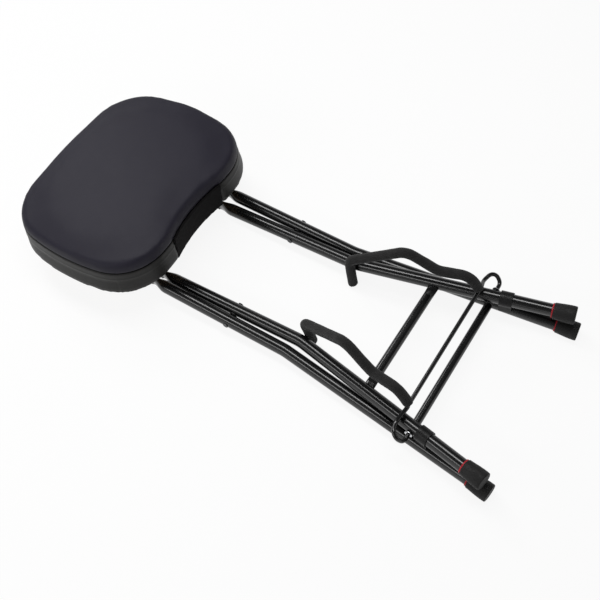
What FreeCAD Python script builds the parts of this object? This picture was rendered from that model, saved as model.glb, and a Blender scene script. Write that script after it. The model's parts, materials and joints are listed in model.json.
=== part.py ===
import FreeCAD, Part
import math
import os
import re
import Sketcher
from FreeCAD import Vector

# A folding stool with a built-in guitar holder, folded flat and lying on its legs.
# The stool frame has its origin on the scissor pivot: X runs to the feet, Y to the left side
# and Z out of the front of the front legs. The whole stool is then laid on the floor.

SIZES = {
    # Place of the scissor pivot when the folded stool lies on the floor
    "lay_shift": -45.41,
    "lay_height": 27.942,
    "lay_tilt": 3.2594,
    # Leg tubes
    "tube_dia": 25.0,
    "tube_wall": 1.5,
    "bend_radius": 90.0,
    "front_leg_y": 100.5,
    "front_bend_x": 146.4,
    "front_splay": 11.6,
    "front_sole_run": 427.5,
    "rear_leg_y": 128.0,
    "rear_bend_x": 127.5,
    "rear_splay": 7.0,
    "rear_sole_run": 454.0,
    "leg_gap": 4.3,
    "open_angle": 58.7,
    # Crushed tops of the legs
    "crush_start": 150.0,
    "crush_end": 186.0,
    "lug_thickness": 4.0,
    "lug_height": 32.0,
    "front_reach": 210.0,
    "rear_reach": 195.0,
    # Cross bars
    "front_bar_x": 307.0,
    "front_bar_dia": 19.0,
    "front_bar_crush": 98.0,
    "front_bar_tongue": 114.0,
    "tongue_width": 20.5,
    "tongue_thickness": 7.0,
    "rear_bar_x": 409.0,
    "rear_bar_dia": 16.0,
    "bar_wall": 1.5,
    # Rubber feet with their bands
    "foot_length": 41.5,
    "foot_top_dia": 31.0,
    "foot_sole_dia": 35.0,
    "foot_edge": 3.0,
    "sole_thickness": 7.0,
    "band_width": 2.4,
    "band_dia": 28.0,
    # Clips that park the rear legs under the front legs
    "clip_run": 287.0,
    "clip_length": 24.0,
    "clip_dia": 30.0,
    "clip_width": 22.0,
    "clip_drop": 26.0,
    "clip_slack": 0.5,
    # Fasteners
    "bolt_dia": 8.0,
    "bolt_fit": 0.1,
    "bolt_head_dia": 11.0,
    "bolt_head_height": 1.2,
    "washer_dia": 14.0,
    "face_gap": 0.05,
    "rest_pin_dia": 10.0,
    "rest_pin_end": 119.0,
    "saddle_slack": 0.3,
    "sleeve_dia": 14.0,
    "nut_radius": 7.5,
    "nut_height": 5.0,
    # Guitar holder
    "rod_dia": 8.0,
    "foam_dia": 20.0,
    "foam_cap": 6.0,
    "foam_stop": 3.0,
    "hinge_x": 413.5,
    "hinge_washer_dia": 15.0,
    "hinge_washer_height": 1.5,
    "hinge_washer_gap": 0.4,
    "hinge_pin_end": 152.0,
    "cross_rod_back": 2.1,
    "cross_rod_below": 2.0,
    "cross_rod_short": 3.5,
    "heel_x": 396.6,
    "heel_y": 134.5,
    "heel_z": 33.0,
    "heel_radius": 10.0,
    "lip_x": 153.0,
    "lip_y": 75.5,
    "lip_z": -26.0,
    "tip_x": 146.5,
    "tip_z": 34.0,
    "tip_in": 2.4,
    "tip_radius": 14.0,
    "crest_x": 257.3,
    "crest_z": 97.0,
    "dip_x": 317.0,
    "dip_z": 59.5,
    "hump_x": 375.0,
    "hump_z": 67.5,
    "wave_radius": 30.0,
    "arm_bow": 4.0,
    "hump_bow": 3.2,
    "loop_low_back": 26.2,
    "loop_low_y": 168.5,
    "loop_low_z": 17.0,
    "loop_low_radius": 18.0,
    "loop_top_back": 17.5,
    "loop_top_y": 197.0,
    "loop_top_z": 20.0,
    "loop_top_radius": 14.0,
    "loop_end_y": 189.0,
    "loop_end_radius": 11.0,
    # Seat outlines, measured from the seat pivot
    "seat_mid": 114.0,
    "seat_drop": 35.0,
    "rim_height": 64.0,
    "crown_height": 91.0,
    "crown_radius": 2300.0,
    "rim_front": 52.5,
    "rim_back": 283.0,
    "rim_half": 212.8,
    "rim_notch": 10.0,
    "top_front": 46.7,
    "top_back": 277.2,
    "top_half": 207.0,
    "top_notch": 10.0,
    "base_front": 45.0,
    "base_back": 292.5,
    "base_half": 216.2,
    "base_notch": 11.0,
    "board_front": 39.0,
    "board_back": 286.5,
    "board_half": 210.2,
    "board_notch": 12.0,
    "board_thickness": 12.0,
    "side_radius": 475.0,
    "back_radius": 1277.0,
    "corner_radius": 99.6,
    "notch_radius": 330.0,
    "notch_blend": 90.0,
    "neck_pad_half": 77.0,
    "neck_pad_thickness": 4.0,
    "neck_pad_proud": 1.0,
    # Seat brackets
    "bracket_y": 113.3,
    "bracket_sheet": 1.9,
    "bracket_flange": 30.0,
    "bracket_front": 26.0,
    "bracket_edge": 14.0,
    "bracket_boss_dia": 24.0,
    "hook_width": 12.0,
    "hook_drop": 12.0,
    "saddle_mouth": 6.5,
    "screw_dia": 5.0,
    "screw_head_dia": 10.0,
    "screw_head_height": 2.5,
    "screw_depth": 10.0,
    "screw_side": 18.0,
    "screw_front": 15.0,
    "screw_pitch": 105.0,
}

SIDES = {"left": 1, "right": -1}

doc = FreeCAD.newDocument("GuitarStool")
sheet = doc.addObject("Spreadsheet::Sheet", "Sizes")
nodes = []


def add_sizes(sizes, first_row):
    """Put dimensions in rows of the sheet and name their cells."""
    for row, (name, value) in enumerate(sizes.items(), first_row):
        sheet.set(f"A{row}", name)
        sheet.set(f"B{row}", str(value))
        sheet.setAlias(f"B{row}", name)
    doc.recompute()


def size(name):
    """Read a dimension from the sheet."""
    return float(sheet.get(name))


def bound(formula):
    """Turn a formula of dimension names into an expression on the sheet."""
    known = SIZES.keys() | DERIVED.keys()
    return re.sub(r"[a-z_]+", lambda word: f"Sizes.{word[0]}" if word[0] in known else word[0], formula)


def open_seat():
    """Seat turn and resting place of the front pins, in seat axes, when the stool stands open."""
    angle = math.radians(size("leg_gap") + size("open_angle"))
    front_foot = size("front_bend_x") + size("front_sole_run") * math.cos(math.radians(size("front_splay")))
    rear_foot = size("rear_bend_x") + size("rear_sole_run") * math.cos(math.radians(size("rear_splay")))
    floor = math.atan2(rear_foot * math.sin(angle), front_foot - rear_foot * math.cos(angle))
    across = -size("front_reach") + size("rear_reach") * math.cos(angle)
    down = -size("rear_reach") * math.sin(angle)
    along = across * math.cos(floor) + down * math.sin(floor)
    rise = -across * math.sin(floor) + down * math.cos(floor)
    turn = math.degrees(floor) + size("open_angle")
    return turn, -along, rise


add_sizes(SIZES, 1)
seat_turn, saddle_back, saddle_rise = open_seat()
DERIVED = {"saddle_back": round(saddle_back, 3), "saddle_rise": round(saddle_rise, 3)}
add_sizes(DERIVED, len(SIZES) + 1)

# Frames: each is a placement formula that carries a piece's own axes to the floor

LAID = "placement(vector(lay_shift; 0; lay_height); rotation(vector(0; 1; 0); -lay_tilt))"
FOLD = "placement(vector(0; 0; 0); rotation(vector(0; 1; 0); leg_gap))"
FRAMES = {
    "front": LAID,
    "rear": f"{LAID} * {FOLD}",
    "seat": f"{LAID} * placement(vector(-rear_reach * cos(leg_gap); 0; rear_reach * sin(leg_gap));"
            " rotation(vector(0; 0; 1); 0))",
}
AIM = {
    "X": "rotation(vector(0; 1; 0); 90)",
    "Y": "rotation(vector(1; 0; 0); -90)",
    "Z": "rotation(vector(0; 0; 1); 0)",
}


def leg_frame(pair, sign):
    """Axes on a straight leg top: origin on the tube at the scissor pivot, Y pointing outwards."""
    flip = 0 if sign > 0 else 180
    return f"placement(vector(0; {sign} * {pair}_leg_y; 0); rotation(vector(1; 0; 0); {flip}))"


def splay_frame(pair, sign):
    """Axes on a splayed leg: origin at the bend, X down the tube to the foot, Z as in the stool."""
    return (f"placement(vector({pair}_bend_x; {sign} * {pair}_leg_y; 0);"
            f" rotation(vector(0; 0; 1); {sign} * {pair}_splay))")


def set_placement(solid, formula):
    solid.setExpression("Placement", bound(formula))


def cylinder(name, dia, length, at=("0", "0", "0"), along="X"):
    """A cylinder that starts at a point and runs along one axis."""
    solid = doc.addObject("Part::Cylinder", name)
    solid.setExpression("Radius", bound(f"({dia}) / 2"))
    solid.setExpression("Height", bound(length))
    set_placement(solid, f"placement(vector({'; '.join(at)}); {AIM[along]})")
    return solid


def cone(name, dia_start, dia_end, length, at, along="X"):
    """A cone that starts at a point and runs along one axis."""
    solid = doc.addObject("Part::Cone", name)
    solid.setExpression("Radius1", bound(f"({dia_start}) / 2"))
    solid.setExpression("Radius2", bound(f"({dia_end}) / 2"))
    solid.setExpression("Height", bound(length))
    set_placement(solid, f"placement(vector({'; '.join(at)}); {AIM[along]})")
    return solid


def box(name, sizes, at):
    """A box given by its three sizes and its lowest corner."""
    solid = doc.addObject("Part::Box", name)
    for side, formula in zip(("Length", "Width", "Height"), sizes):
        solid.setExpression(side, bound(formula))
    set_placement(solid, f"placement(vector({'; '.join(at)}); {AIM['Z']})")
    return solid


def fuse(name, *solids):
    result = doc.addObject("Part::MultiFuse", name)
    result.Shapes = list(solids)
    result.Refine = True
    return result


def group(name, *solids):
    result = doc.addObject("Part::Compound", name)
    result.Links = list(solids)
    return result


def cut(name, base, *tools):
    result = doc.addObject("Part::Cut", name)
    result.Base = base
    result.Tool = tools[0] if len(tools) == 1 else fuse(f"{name}_tools", *tools)
    return result


def publish(label, solid, frame):
    """Name a finished sub-part and lay it in its frame."""
    solid.Label = label
    set_placement(solid, frame)
    nodes.append(solid)
    return solid


def new_sketch(body, name, plane, offset="0"):
    """A sketch on one of the body's origin planes, lifted along the plane's normal."""
    planes = {feature.Role: feature for feature in body.Origin.OriginFeatures}
    sketch = body.newObject("Sketcher::SketchObject", f"{body.Name}_{name}")
    sketch.AttachmentSupport = [(planes[plane], "")]
    sketch.MapMode = "FlatFace"
    sketch.setExpression("AttachmentOffset.Base.z", bound(offset))
    return sketch


def constrain(sketch, formula, *constraint):
    """Add a dimension to a sketch and bind it to the sheet."""
    index = sketch.addConstraint(Sketcher.Constraint(*constraint))
    sketch.setExpression(f"Constraints[{index}]", bound(formula))


def circle_sketch(body, name, plane, offset, dia):
    """A circle round the origin of a plane."""
    sketch = new_sketch(body, name, plane, offset)
    index = sketch.addGeometry(Part.Circle(Vector(0, 0, 0), Vector(0, 0, 1), 10))
    sketch.addConstraint(Sketcher.Constraint("Coincident", index, 3, -1, 1))
    constrain(sketch, dia, "Diameter", index, 20.0)
    return sketch


def bend_sketch(body, pair):
    """Centre line of a leg: the straight top, one bend and the splayed run to the foot."""
    sketch = new_sketch(body, "path", "XY_Plane")
    start, bend = -size("crush_start"), size(f"{pair}_bend_x")
    run = size(f"{pair}_sole_run") - size("sole_thickness")
    splay, radius = math.radians(size(f"{pair}_splay")), size("bend_radius")
    reach = radius * math.tan(splay / 2)
    end = Vector(bend + run * math.cos(splay), run * math.sin(splay), 0)
    first = Vector(bend - reach, 0, 0)
    second = Vector(bend + reach * math.cos(splay), reach * math.sin(splay), 0)
    turn = Part.Circle(Vector(first.x, radius, 0), Vector(0, 0, 1), radius)
    top = sketch.addGeometry(Part.LineSegment(Vector(start, 0, 0), first))
    arc = sketch.addGeometry(Part.ArcOfCircle(turn, -math.pi / 2, splay - math.pi / 2))
    low = sketch.addGeometry(Part.LineSegment(second, end))
    sketch.addConstraint(Sketcher.Constraint("Tangent", top, 2, arc, 1))
    sketch.addConstraint(Sketcher.Constraint("Tangent", arc, 2, low, 1))
    sketch.addConstraint(Sketcher.Constraint("PointOnObject", top, 1, -1))
    sketch.addConstraint(Sketcher.Constraint("Horizontal", top))
    constrain(sketch, "crush_start", "DistanceX", top, 1, -1, 1, size("crush_start"))
    constrain(sketch, "bend_radius", "Radius", arc, radius)
    tube_run = f"({pair}_sole_run - sole_thickness)"
    constrain(sketch, f"{pair}_bend_x + {tube_run} * cos({pair}_splay)", "DistanceX", -1, 1, low, 2, end.x)
    constrain(sketch, f"{tube_run} * sin({pair}_splay)", "DistanceY", -1, 1, low, 2, end.y)
    constrain(sketch, f"{pair}_splay", "Angle", low, splay)
    return sketch


def crush_sections(name):
    """Rings between the round tube and its flat lug: part of the way along, part of the flattening."""
    ring = doc.addObject("Part::Circle", f"{name}_ring")
    ring.setExpression("Radius", bound("tube_dia / 2"))
    sections = [(ring, 0)]
    for along, flattening in ((0.3, 0.22), (0.7, 0.78), (1, 1)):
        oval = doc.addObject("Part::Ellipse", f"{name}_oval_{len(sections)}")
        for radius, final in (("MajorRadius", "lug_height"), ("MinorRadius", "lug_thickness")):
            oval.setExpression(radius, bound(f"(tube_dia + ({final} - tube_dia) * {flattening}) / 2"))
        sections.append((oval, along))
    for section, along in sections:
        place = f"-crush_start - (crush_end - crush_start) * {along}"
        set_placement(section, f"placement(vector({place}; 0; 0); rotation(vector(0; 1; 0); -90))")
    return [section for section, _ in sections]


def leg(pair, side, sign, frame):
    """A bent tube whose top is crushed to a flat lug, with its bolt holes."""
    name = f"{pair}_leg_{side}"
    body = doc.addObject("PartDesign::Body", f"{name}_tube")
    path = bend_sketch(body, pair)
    outer = circle_sketch(body, "outer", "YZ_Plane", "-crush_start", "tube_dia")
    inner = circle_sketch(body, "inner", "YZ_Plane", "-crush_start", "tube_dia - 2 * tube_wall")
    for kind, profile in (("AdditivePipe", outer), ("SubtractivePipe", inner)):
        pipe = body.newObject(f"PartDesign::{kind}", f"{name}_{kind}")
        pipe.Profile = profile
        pipe.Spine = (path, ["Edge1", "Edge2", "Edge3"])
    crush = doc.addObject("Part::Loft", f"{name}_crush")
    crush.Sections = crush_sections(name)
    crush.Solid = True
    reach = f"{pair}_reach"
    plate = box(f"{name}_plate", (f"{reach} - crush_end", "lug_thickness", "lug_height"),
                (f"-{reach}", "-lug_thickness / 2", "-lug_height / 2"))
    tip = cylinder(f"{name}_tip", "lug_height", "lug_thickness",
                   (f"-{reach}", "-lug_thickness / 2", "0"), "Y")
    whole = fuse(f"{name}_whole", body, crush, plate, tip)
    hole = "bolt_dia + bolt_fit"
    pivot = cylinder(f"{name}_pivot_hole", hole, "2 * tube_dia", ("0", "-tube_dia", "0"), "Y")
    lug = cylinder(f"{name}_lug_hole", hole, "2 * tube_dia", (f"-{reach}", "-tube_dia", "0"), "Y")
    holes = [pivot, lug]
    if pair == "front":
        outwards = "(hinge_x - front_bend_x) * tan(front_splay)"
        holes.append(cylinder(f"{name}_hinge_hole", "rod_dia + bolt_fit", "2 * tube_dia",
                              ("hinge_x", outwards, "0"), "Y"))
    return publish(name, cut(f"{name}_drilled", whole, *holes), f"{frame} * {leg_frame(pair, sign)}")


def foot(pair, side, sign, frame):
    """A rubber foot pushed over the tube end, with the coloured band above it."""
    name = f"{pair}_foot_{side}"
    place = f"{frame} * {splay_frame(pair, sign)}"
    top = f"{pair}_sole_run - foot_length"
    side_wall = cone(f"{name}_side", "foot_top_dia", "foot_sole_dia", "foot_length - foot_edge",
                     (top, "0", "0"))
    edge = cone(f"{name}_edge", "foot_sole_dia", "foot_sole_dia - 2 * foot_edge", "foot_edge",
                (f"{pair}_sole_run - foot_edge", "0", "0"))
    boot = fuse(f"{name}_boot", side_wall, edge)
    bore = cylinder(f"{name}_bore", "tube_dia + bolt_fit", "foot_length - sole_thickness", (top, "0", "0"))
    publish(name, cut(f"{name}_bored", boot, bore), place)
    band = cylinder(f"{name}_ring", "band_dia", "band_width", (f"{top} - band_width - face_gap", "0", "0"))
    band_bore = cylinder(f"{name}_ring_bore", "tube_dia + bolt_fit", "3 * band_width",
                         (f"{top} - 2 * band_width", "0", "0"))
    publish(f"{pair}_foot_band_{side}", cut(f"{name}_band", band, band_bore), place)


def clip(side, sign):
    """A plastic collar on the front leg whose saddle sits on the rear leg when folded."""
    name = f"leg_clip_{side}"
    collar = cylinder(f"{name}_collar", "clip_dia", "clip_length", ("clip_run", "0", "0"))
    jaw = box(f"{name}_jaw", ("clip_length", "clip_width", "clip_drop"),
              ("clip_run", "-clip_width / 2", "-clip_drop"))
    tube = cylinder(f"{name}_tube", "tube_dia + bolt_fit", "2 * clip_length",
                    ("clip_run - clip_length / 2", "0", "0"))
    rear_axis = f"minvert({splay_frame('front', sign)}) * {FOLD} * {splay_frame('rear', sign)}"
    trough = cylinder(f"{name}_trough", "tube_dia + 2 * clip_slack", "rear_sole_run")
    set_placement(trough, f"{rear_axis} * placement(vector(0; 0; 0); {AIM['X']})")
    publish(name, cut(f"{name}_cut", fuse(f"{name}_blank", collar, jaw), tube, trough),
            f"{LAID} * {splay_frame('front', sign)}")


def tube_blank(pair, sign, name):
    """The full round of a splayed leg, for shaping what is welded to it."""
    blank = cylinder(name, "tube_dia", f"{pair}_sole_run")
    set_placement(blank, f"{splay_frame(pair, sign)} * placement(vector(0; 0; 0); {AIM['X']})")
    return blank


def front_cross_bar():
    """Foot rail: a round tube whose ends are crushed to tongues and welded to the front legs."""
    name = "front_cross_bar"
    at = "front_bar_x"
    rail = cylinder(f"{name}_rail", "front_bar_dia", "2 * front_bar_crush",
                    (at, "-front_bar_crush", "0"), "Y")
    bore = cylinder(f"{name}_bore", "front_bar_dia - 2 * bar_wall", "2 * front_bar_crush",
                    (at, "-front_bar_crush", "0"), "Y")
    solids = [cut(f"{name}_tube", rail, bore)]
    blanks = []
    for side, sign in SIDES.items():
        ring = doc.addObject("Part::Circle", f"{name}_ring_{side}")
        ring.setExpression("Radius", bound("front_bar_dia / 2"))
        flats = []
        for end in ("near", "far"):
            flat = doc.addObject("Part::Ellipse", f"{name}_{end}_{side}")
            flat.setExpression("MajorRadius", bound("tongue_width / 2"))
            flat.setExpression("MinorRadius", bound("tongue_thickness / 2"))
            flats.append(flat)
        leg_side = "front_leg_y + (front_bar_x - front_bend_x) * tan(front_splay)"
        for section, out in ((ring, "front_bar_crush"), (flats[0], "front_bar_tongue"), (flats[1], leg_side)):
            set_placement(section, f"placement(vector({at}; {sign} * ({out}); 0); {AIM['Y']})")
        for part, sections in (("crush", [ring, flats[0]]), ("tongue", flats)):
            loft = doc.addObject("Part::Loft", f"{name}_{part}_{side}")
            loft.Sections = sections
            loft.Solid = True
            solids.append(loft)
        blanks.append(tube_blank("front", sign, f"{name}_leg_{side}"))
    publish(name, cut(f"{name}_coped", fuse(f"{name}_whole", *solids), *blanks), LAID)


def rear_cross_bar():
    """Plain round tube welded between the rear legs close to the feet."""
    name = "rear_cross_bar"
    half = "(rear_leg_y + (rear_bar_x - rear_bend_x) * tan(rear_splay))"
    at = ("rear_bar_x", f"-{half}", "0")
    rail = cylinder(f"{name}_rail", "rear_bar_dia", f"2 * {half}", at, "Y")
    bore = cylinder(f"{name}_bore", "rear_bar_dia - 2 * bar_wall", f"2 * {half}", at, "Y")
    blanks = [tube_blank("rear", sign, f"{name}_leg_{side}") for side, sign in SIDES.items()]
    publish(name, cut(f"{name}_coped", rail, bore, *blanks), FRAMES["rear"])


def turned(name, *steps):
    """A stack of coaxial cylinders along Y, each given by its diameter and its two ends."""
    return [cylinder(f"{name}_{number}", dia, f"({end}) - ({start})", ("0", start, "0"), "Y")
            for number, (dia, start, end) in enumerate(steps)]


def scissor_pivot(side, sign):
    """Bolt, spacer and nut where the front and rear legs cross."""
    flip = 0 if sign > 0 else 180
    place = f"{LAID} * placement(vector(0; 0; 0); rotation(vector(1; 0; 0); {flip}))"
    inside = "front_leg_y - tube_dia / 2 - face_gap"
    outside = "rear_leg_y + tube_dia / 2 + face_gap"
    name = f"scissor_bolt_{side}"
    head, shank = turned(name, ("bolt_head_dia", f"{inside} - bolt_head_height", inside),
                         ("bolt_dia", inside, f"{outside} + bolt_head_height"))
    publish(name, fuse(f"{name}_whole", head, shank), place)
    name = f"scissor_spacer_{side}"
    ring, bore = turned(name, ("washer_dia", "front_leg_y + tube_dia / 2 + face_gap",
                               "rear_leg_y - tube_dia / 2 - face_gap"),
                        ("bolt_dia + bolt_fit", "front_leg_y", "rear_leg_y"))
    publish(name, cut(f"{name}_whole", ring, bore), place)
    name = f"scissor_nut_{side}"
    ring, bore = turned(name, ("bolt_head_dia", outside, f"{outside} + bolt_head_height"),
                        ("bolt_dia + bolt_fit", "rear_leg_y", f"{outside} + 2 * bolt_head_height"))
    publish(name, cut(f"{name}_whole", ring, bore), place)


def rest_pin(side, sign):
    """Shouldered pin in the top of a front leg; it carries the seat when the stool is open."""
    name = f"seat_rest_pin_{side}"
    flip = 0 if sign > 0 else 180
    inner = "front_leg_y - lug_thickness / 2 - face_gap"
    outer = "front_leg_y + lug_thickness / 2 + face_gap"
    head, shank, sleeve = turned(name, ("bolt_head_dia", f"{inner} - bolt_head_height", inner),
                                 ("bolt_dia", inner, outer), ("rest_pin_dia", outer, "rest_pin_end"))
    publish(name, fuse(f"{name}_whole", head, shank, sleeve),
            f"{LAID} * placement(vector(-front_reach; 0; 0); rotation(vector(1; 0; 0); {flip}))")


def seat_pivot(side, sign):
    """Bolt, sleeve and nut that hinge a seat bracket on the top of a rear leg."""
    flip = 0 if sign > 0 else 180
    place = f"{FRAMES['seat']} * placement(vector(0; 0; 0); rotation(vector(1; 0; 0); {flip}))"
    sheet_inside = "bracket_y"
    sheet_outside = "bracket_y + bracket_sheet"
    lug_inside = "rear_leg_y - lug_thickness / 2 - face_gap"
    lug_outside = "rear_leg_y + lug_thickness / 2 + face_gap"
    name = f"seat_pivot_bolt_{side}"
    shank, head = turned(name, ("bolt_dia", f"{sheet_inside} - nut_height", lug_outside),
                         ("bolt_head_dia", lug_outside, f"{lug_outside} + bolt_head_height"))
    publish(name, fuse(f"{name}_whole", shank, head), place)
    name = f"seat_pivot_sleeve_{side}"
    ring, bore = turned(name, ("sleeve_dia", sheet_outside, lug_inside),
                        ("bolt_dia + bolt_fit", "bracket_y", "rear_leg_y"))
    publish(name, cut(f"{name}_whole", ring, bore), place)
    name = f"seat_pivot_nut_{side}"
    nut = doc.addObject("Part::Prism", f"{name}_blank")
    nut.Polygon = 6
    nut.setExpression("Circumradius", bound("nut_radius"))
    nut.setExpression("Height", bound("nut_height"))
    set_placement(nut, f"placement(vector(0; {sheet_inside} - nut_height; 0); {AIM['Y']})")
    bore = cylinder(f"{name}_bore", "bolt_dia + bolt_fit", "3 * nut_height",
                    ("0", f"{sheet_inside} - 2 * nut_height", "0"), "Y")
    publish(name, cut(f"{name}_whole", nut, bore), place)


def seat_bracket(side, sign):
    """Pressed steel angle: pivot boss in front, open saddle for the front leg's pin behind."""
    name = f"seat_bracket_{side}"
    back = "(saddle_back + rest_pin_dia / 2 + saddle_slack)"
    length = f"bracket_front + {back} + hook_width"
    y_low = "bracket_y" if sign > 0 else "-bracket_y - bracket_sheet"
    strip = box(f"{name}_strip", (length, "bracket_sheet", "seat_drop - bracket_edge"),
                (f"-{back} - hook_width", y_low, "bracket_edge"))
    hook = box(f"{name}_hook", ("hook_width", "bracket_sheet", "hook_drop + seat_drop - bracket_edge"),
               (f"-{back} - hook_width", y_low, "bracket_edge - hook_drop"))
    web = box(f"{name}_web", ("bracket_boss_dia", "bracket_sheet", "seat_drop"),
              ("-bracket_boss_dia / 2", y_low, "0"))
    boss = cylinder(f"{name}_boss", "bracket_boss_dia", "bracket_sheet", ("0", y_low, "0"), "Y")
    flange_y = "bracket_y" if sign > 0 else "-bracket_y - bracket_flange"
    flange = box(f"{name}_flange", (length, "bracket_flange", "bracket_sheet"),
                 (f"-{back} - hook_width", flange_y, "seat_drop - bracket_sheet"))
    pin_room = "rest_pin_dia + 2 * saddle_slack"
    saddle = cylinder(f"{name}_saddle", pin_room, "3 * bracket_sheet",
                      ("-saddle_back", f"{y_low} - bracket_sheet", "saddle_rise"), "Y")
    mouth = box(f"{name}_mouth", (f"{pin_room} + saddle_mouth", "3 * bracket_sheet", "seat_drop"),
                (f"-{back}", f"{y_low} - bracket_sheet", "saddle_rise - seat_drop"))
    pivot = cylinder(f"{name}_pivot", "bolt_dia + bolt_fit", "3 * bracket_sheet",
                     ("0", f"{y_low} - bracket_sheet", "0"), "Y")
    holes = [cylinder(f"{name}_screw_hole_{number}", "screw_dia + bolt_fit", "3 * bracket_sheet", at, "Z")
             for number, at in enumerate(screw_places(sign, "seat_drop - 2 * bracket_sheet"))]
    blank = fuse(f"{name}_blank", strip, hook, web, boss, flange)
    publish(name, cut(f"{name}_pressed", blank, saddle, mouth, pivot, *holes), FRAMES["seat"])


def screw_places(sign, height):
    """Three screw axes in a row along one bracket."""
    return [(f"screw_front - {number} * screw_pitch", f"{sign} * (bracket_y + screw_side)", height)
            for number in range(3)]


def bracket_screws(side, sign):
    """The three screws that hold one bracket under the seat board."""
    name = f"bracket_screws_{side}"
    screws = []
    under = "seat_drop - bracket_sheet - face_gap"
    for number, (x, y, _) in enumerate(screw_places(sign, "0")):
        head = cone(f"{name}_head_{number}", "screw_dia", "screw_head_dia", "screw_head_height",
                    (x, y, f"{under} - screw_head_height"), "Z")
        shank = cylinder(f"{name}_shank_{number}", "screw_dia", "screw_depth + bracket_sheet + face_gap",
                         (x, y, under), "Z")
        screws.append(fuse(f"{name}_{number}", head, shank))
    publish(name, group(f"{name}_set", *screws), FRAMES["seat"])


def circle_meeting(first, first_radius, second, second_radius):
    """The point at two given distances from two centres, on the side away from the origin line."""
    gap = second - first
    along = (first_radius**2 - second_radius**2 + gap.Length**2) / (2 * gap.Length)
    across = math.sqrt(first_radius**2 - along**2)
    unit = gap / gap.Length
    options = [first + unit * along + Vector(-unit.y, unit.x, 0) * (across * way) for way in (1, -1)]
    return max(options, key=lambda point: point.y)


def seat_sketch(body, prefix, height):
    """Seat outline: bowed sides and back, round corners and a shallow hollow in the front edge."""
    sketch = new_sketch(body, prefix, "XY_Plane", height)
    front, back, half = size(f"{prefix}_front"), -size(f"{prefix}_back"), size(f"{prefix}_half")
    depth, middle = size(f"{prefix}_notch"), -size("seat_mid")
    side, rear, corner = size("side_radius"), size("back_radius"), size("corner_radius")
    hollow, blend = size("notch_radius"), size("notch_blend")
    side_centre = Vector(middle, half - side, 0)
    rear_centre = Vector(back + rear, 0, 0)
    hollow_centre = Vector(front - depth + hollow, 0, 0)
    reach = front - corner - middle
    front_corner = Vector(front - corner, half - side + math.sqrt((side - corner)**2 - reach**2), 0)
    back_corner = circle_meeting(side_centre, side - corner, rear_centre, rear - corner)
    blend_centre = Vector(front - blend, math.sqrt((hollow + blend)**2 - (hollow + blend - depth)**2), 0)

    def angle(start, end):
        return math.atan2(end.y - start.y, end.x - start.x)

    lean = angle(blend_centre, hollow_centre)
    shoulder = angle(side_centre, front_corner)
    haunch = angle(side_centre, back_corner)
    tail = angle(rear_centre, back_corner)

    def arc(centre, radius, start, end):
        curve = Part.Circle(centre, Vector(0, 0, 1), radius)
        return sketch.addGeometry(Part.ArcOfCircle(curve, start, end))

    def mirrored(centre):
        return Vector(centre.x, -centre.y, 0)

    full = 2 * math.pi
    line_left = sketch.addGeometry(
        Part.LineSegment(Vector(front, blend_centre.y, 0), Vector(front, front_corner.y, 0)))
    corner_left = arc(front_corner, corner, 0, shoulder)
    side_left = arc(side_centre, side, shoulder, haunch)
    haunch_left = arc(back_corner, corner, haunch, tail)
    rear_arc = arc(rear_centre, rear, tail, full - tail)
    haunch_right = arc(mirrored(back_corner), corner, full - tail, full - haunch)
    side_right = arc(mirrored(side_centre), side, full - haunch, full - shoulder)
    corner_right = arc(mirrored(front_corner), corner, full - shoulder, full)
    line_right = sketch.addGeometry(
        Part.LineSegment(Vector(front, -front_corner.y, 0), Vector(front, -blend_centre.y, 0)))
    blend_right = arc(mirrored(blend_centre), blend, 0, -lean)
    hollow_arc = arc(hollow_centre, hollow, math.pi + lean, math.pi - lean)
    blend_left = arc(blend_centre, blend, lean, 0)

    chain = [line_left, corner_left, side_left, haunch_left, rear_arc, haunch_right, side_right, corner_right,
             line_right, blend_right, hollow_arc, blend_left]
    for first, second in zip(chain, chain[1:] + chain[:1]):
        leaving = 1 if first == hollow_arc else 2
        entering = 2 if second == hollow_arc else 1
        sketch.addConstraint(Sketcher.Constraint("Tangent", first, leaving, second, entering))
    for formula, radius, arcs in (
        ("corner_radius", corner, (corner_left, haunch_left, haunch_right, corner_right)),
        ("side_radius", side, (side_left, side_right)), ("back_radius", rear, (rear_arc,)),
        ("notch_blend", blend, (blend_left, blend_right)), ("notch_radius", hollow, (hollow_arc,)),
    ):
        for curve in arcs:
            constrain(sketch, formula, "Radius", curve, radius)
    for curve in (rear_arc, hollow_arc):
        sketch.addConstraint(Sketcher.Constraint("PointOnObject", curve, 3, -1))
    constrain(sketch, f"back_radius - {prefix}_back", "DistanceX", -1, 1, rear_arc, 3, rear_centre.x)
    constrain(sketch, f"{prefix}_front - {prefix}_notch + notch_radius", "DistanceX", -1, 1, hollow_arc, 3,
              hollow_centre.x)
    for line in (line_left, line_right):
        sketch.addConstraint(Sketcher.Constraint("Vertical", line))
        constrain(sketch, f"{prefix}_front", "DistanceX", -1, 1, line, 1, front)
    for curve in (side_left, side_right):
        constrain(sketch, "seat_mid", "DistanceX", curve, 3, -1, 1, -middle)
    constrain(sketch, f"side_radius - {prefix}_half", "DistanceY", side_left, 3, -1, 1, side - half)
    constrain(sketch, f"side_radius - {prefix}_half", "DistanceY", -1, 1, side_right, 3, side - half)
    return sketch


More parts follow.
